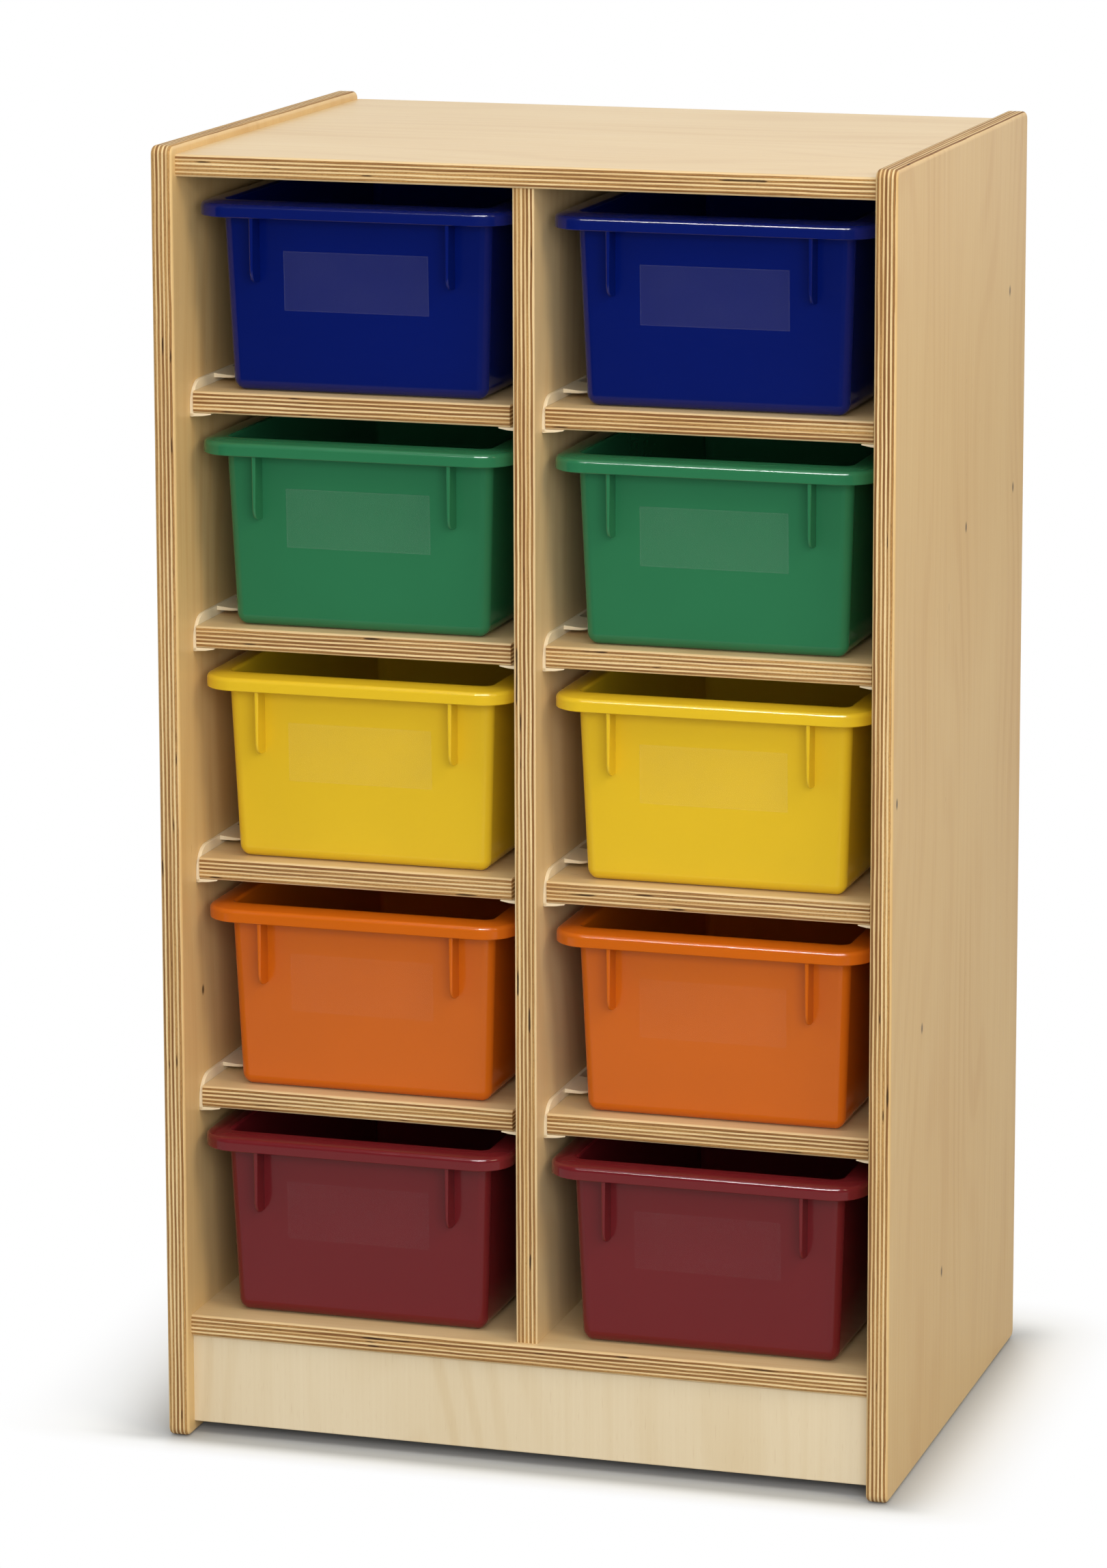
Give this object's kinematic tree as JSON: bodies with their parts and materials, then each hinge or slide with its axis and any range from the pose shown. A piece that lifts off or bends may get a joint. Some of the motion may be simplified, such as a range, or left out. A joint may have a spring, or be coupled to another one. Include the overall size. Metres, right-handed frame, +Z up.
{
  "type": "cubby storage unit",
  "caption": "Birch plywood classroom cabinet with two columns of cubbies, adjustable shelves on locking supports and pull-out moulded plastic trays.",
  "frame": {"origin": "on the floor under the middle of the cabinet", "axes": "+Z up, front of the cabinet towards -Y, +X to the right seen from the front"},
  "size_m": [0.508, 0.381, 0.889],
  "materials": {
    "birch_plywood": "clear satin lacquer over pale birch, ply layers showing on every edge",
    "support_plastic": "slightly translucent ivory nylon, as moulded",
    "tray_blue": "glossy deep blue",
    "tray_green": "glossy mid green",
    "tray_yellow": "glossy warm yellow",
    "tray_orange": "glossy orange",
    "tray_dark_red": "glossy dark red",
    "label_film": "clear thin film"
  },
  "bodies": {
    "cabinet": {"left_side_panel": "birch_plywood", "right_side_panel": "birch_plywood", "top_panel": "birch_plywood", "bottom_panel": "birch_plywood", "center_divider": "birch_plywood", "back_panel": "birch_plywood", "kick_panel": "birch_plywood", "rear_rail": "birch_plywood", "shelf_left_1": "birch_plywood", "shelf_left_2": "birch_plywood", "shelf_left_3": "birch_plywood", "shelf_left_4": "birch_plywood", "shelf_right_1": "birch_plywood", "shelf_right_2": "birch_plywood", "shelf_right_3": "birch_plywood", "shelf_right_4": "birch_plywood", "shelf_supports_left_1": "support_plastic", "shelf_supports_left_2": "support_plastic", "shelf_supports_left_3": "support_plastic", "shelf_supports_left_4": "support_plastic", "shelf_supports_right_1": "support_plastic", "shelf_supports_right_2": "support_plastic", "shelf_supports_right_3": "support_plastic", "shelf_supports_right_4": "support_plastic"},
    "pull_tray_left_1": {"tray_left_1": "tray_blue", "tray_label_left_1": "label_film"},
    "pull_tray_left_2": {"tray_left_2": "tray_green", "tray_label_left_2": "label_film"},
    "pull_tray_left_3": {"tray_left_3": "tray_yellow", "tray_label_left_3": "label_film"},
    "pull_tray_left_4": {"tray_left_4": "tray_orange", "tray_label_left_4": "label_film"},
    "pull_tray_left_5": {"tray_left_5": "tray_dark_red", "tray_label_left_5": "label_film"},
    "pull_tray_right_1": {"tray_right_1": "tray_blue", "tray_label_right_1": "label_film"},
    "pull_tray_right_2": {"tray_right_2": "tray_green", "tray_label_right_2": "label_film"},
    "pull_tray_right_3": {"tray_right_3": "tray_yellow", "tray_label_right_3": "label_film"},
    "pull_tray_right_4": {"tray_right_4": "tray_orange", "tray_label_right_4": "label_film"},
    "pull_tray_right_5": {"tray_right_5": "tray_dark_red", "tray_label_right_5": "label_film"}
  },
  "joints": [
    {"name": "tray_slide_left_1", "type": "slide", "parent": "cabinet", "child": "pull_tray_left_1", "axis": [0, -1, 0], "range_m": [-0.0047, 0.3]},
    {"name": "tray_slide_left_2", "type": "slide", "parent": "cabinet", "child": "pull_tray_left_2", "axis": [0, -1, 0], "range_m": [-0.0047, 0.3]},
    {"name": "tray_slide_left_3", "type": "slide", "parent": "cabinet", "child": "pull_tray_left_3", "axis": [0, -1, 0], "range_m": [-0.0047, 0.3]},
    {"name": "tray_slide_left_4", "type": "slide", "parent": "cabinet", "child": "pull_tray_left_4", "axis": [0, -1, 0], "range_m": [-0.0047, 0.3]},
    {"name": "tray_slide_left_5", "type": "slide", "parent": "cabinet", "child": "pull_tray_left_5", "axis": [0, -1, 0], "range_m": [-0.0167, 0.3]},
    {"name": "tray_slide_right_1", "type": "slide", "parent": "cabinet", "child": "pull_tray_right_1", "axis": [0, -1, 0], "range_m": [-0.0047, 0.3]},
    {"name": "tray_slide_right_2", "type": "slide", "parent": "cabinet", "child": "pull_tray_right_2", "axis": [0, -1, 0], "range_m": [-0.0047, 0.3]},
    {"name": "tray_slide_right_3", "type": "slide", "parent": "cabinet", "child": "pull_tray_right_3", "axis": [0, -1, 0], "range_m": [-0.0047, 0.3]},
    {"name": "tray_slide_right_4", "type": "slide", "parent": "cabinet", "child": "pull_tray_right_4", "axis": [0, -1, 0], "range_m": [-0.0047, 0.3]},
    {"name": "tray_slide_right_5", "type": "slide", "parent": "cabinet", "child": "pull_tray_right_5", "axis": [0, -1, 0], "range_m": [-0.0167, 0.3]}
  ]
}
